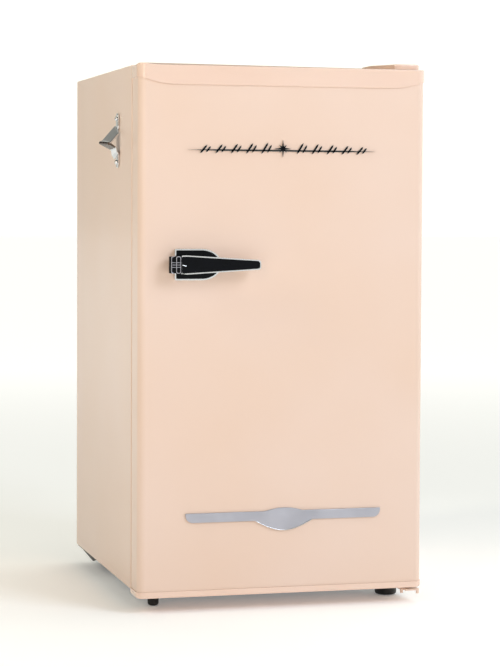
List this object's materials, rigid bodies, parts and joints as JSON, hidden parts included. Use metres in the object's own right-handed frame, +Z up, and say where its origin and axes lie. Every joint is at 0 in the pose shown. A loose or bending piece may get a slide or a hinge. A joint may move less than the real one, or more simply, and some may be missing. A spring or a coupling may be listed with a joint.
{
  "type": "mini fridge",
  "caption": "Retro mini fridge: peach steel cabinet on feet, hinged foamed door with lever handle and side bottle opener, freezer box, glass shelves, crisper and rear condenser.",
  "frame": {"origin": "centre of the whole footprint on the floor, halfway between the opener tip and the door cap across, and between the lever and the condenser front to back", "axes": "+Z up, the door faces -Y, +X to the right seen from the front (the hinge side)"},
  "size_m": [0.4778, 0.5376, 0.825],
  "materials": {
    "body_enamel": "gloss peach paint on sheet steel",
    "cap_plastic": "gloss moulded ABS in the body colour",
    "chrome": "polished chrome plate",
    "satin_metal": "satin anodised",
    "black_gloss": "gloss black enamel inlay",
    "black_plastic": "matt moulded plastic",
    "white_plastic": "vacuum-formed white polystyrene",
    "clear_plastic": "clear moulded polystyrene",
    "shelf_glass": "toughened float glass",
    "zinc_steel": "galvanised sheet",
    "dark_steel": "black stove enamel",
    "aluminium": "anodised evaporator sheet",
    "copper": "drawn copper tube",
    "foam": null,
    "rubber": "matt",
    "seal_vinyl": "soft extruded PVC seal"
  },
  "bodies": {
    "cabinet": {"cabinet_wrap": "body_enamel", "bottom_rail": "body_enamel", "floor_panel": "zinc_steel", "back_panel": "zinc_steel", "insulation": "foam", "inner_liner": "white_plastic", "rear_foot_left": "rubber", "rear_foot_right": "rubber", "top_hinge": "zinc_steel", "hinge_cover": "cap_plastic", "bottom_hinge": "body_enamel", "bottle_opener": "chrome", "opener_screw_top": "chrome", "opener_screw_bottom": "chrome", "compressor_base": "dark_steel", "compressor": "dark_steel", "compressor_bracket": "dark_steel", "grommet_1": "rubber", "grommet_2": "rubber", "grommet_3": "rubber", "grommet_4": "rubber", "terminal_cover": "black_plastic", "cord_gland": "black_plastic", "evaporation_tray": "white_plastic", "suction_tube": "copper", "discharge_tube": "copper", "filter_drier": "copper", "condenser_tube": "dark_steel", "condenser_strap_left": "dark_steel", "condenser_strap_right": "dark_steel", "freezer_box": "aluminium", "thermostat_housing": "white_plastic", "crisper_cover": "shelf_glass"},
    "door": {"door_cap_top": "cap_plastic", "door_cap_bottom": "cap_plastic", "door_panel": "body_enamel", "door_foam": "foam", "door_liner": "white_plastic", "door_gasket": "seal_vinyl", "bin_upper": "clear_plastic", "bin_middle": "clear_plastic", "bin_bottle": "clear_plastic", "can_dispenser": "clear_plastic", "handle_plate": "chrome", "handle_plate_inlay": "black_gloss", "handle_knuckle": "chrome", "handle_lever": "chrome", "handle_lever_inlay": "black_gloss", "badge": "chrome", "lower_trim": "satin_metal"},
    "freezer_flap": {"freezer_flap": "white_plastic"},
    "drip_tray": {"drip_tray": "clear_plastic"},
    "thermostat_knob": {"thermostat_knob": "white_plastic"},
    "shelf_upper": {"shelf_upper_glass": "shelf_glass", "shelf_upper_trim": "white_plastic"},
    "shelf_lower": {"shelf_lower_glass": "shelf_glass", "shelf_lower_trim": "white_plastic"},
    "crisper_drawer": {"crisper_drawer": "clear_plastic"},
    "foot_left": {"foot_left": "black_plastic"},
    "foot_right": {"foot_right": "black_plastic"}
  },
  "joints": [
    {"name": "door_hinge", "type": "hinge", "parent": "cabinet", "child": "door", "pos_m": [0.2199, -0.2186, 0], "axis": [0, 0, 1], "range_deg": [0, 120]},
    {"name": "freezer_flap_hinge", "type": "hinge", "parent": "cabinet", "child": "freezer_flap", "pos_m": [-0.0121, -0.0476, 0.762], "axis": [-1, 0, 0], "range_deg": [0, 85]},
    {"name": "thermostat_turn", "type": "hinge", "parent": "cabinet", "child": "thermostat_knob", "pos_m": [0.1669, -0.0259, 0.722], "axis": [0, -1, 0], "range_deg": [0, 300]},
    {"name": "drip_tray_slide", "type": "slide", "parent": "cabinet", "child": "drip_tray", "axis": [0, -1, 0], "range_m": [0, 0.08]},
    {"name": "shelf_upper_slide", "type": "slide", "parent": "cabinet", "child": "shelf_upper", "axis": [0, -1, 0], "range_m": [0, 0.045]},
    {"name": "shelf_lower_slide", "type": "slide", "parent": "cabinet", "child": "shelf_lower", "axis": [0, -1, 0], "range_m": [0, 0.045]},
    {"name": "crisper_slide", "type": "slide", "parent": "cabinet", "child": "crisper_drawer", "axis": [0, -1, 0], "range_m": [0, 0.05]},
    {"name": "foot_left_screw", "type": "hinge", "parent": "cabinet", "child": "foot_left", "pos_m": [-0.1681, -0.1666, 0], "axis": [0, 0, 1], "range_deg": [-360, 360]},
    {"name": "foot_right_screw", "type": "hinge", "parent": "cabinet", "child": "foot_right", "pos_m": [0.2079, -0.1566, 0], "axis": [0, 0, 1], "range_deg": [-360, 360]}
  ]
}
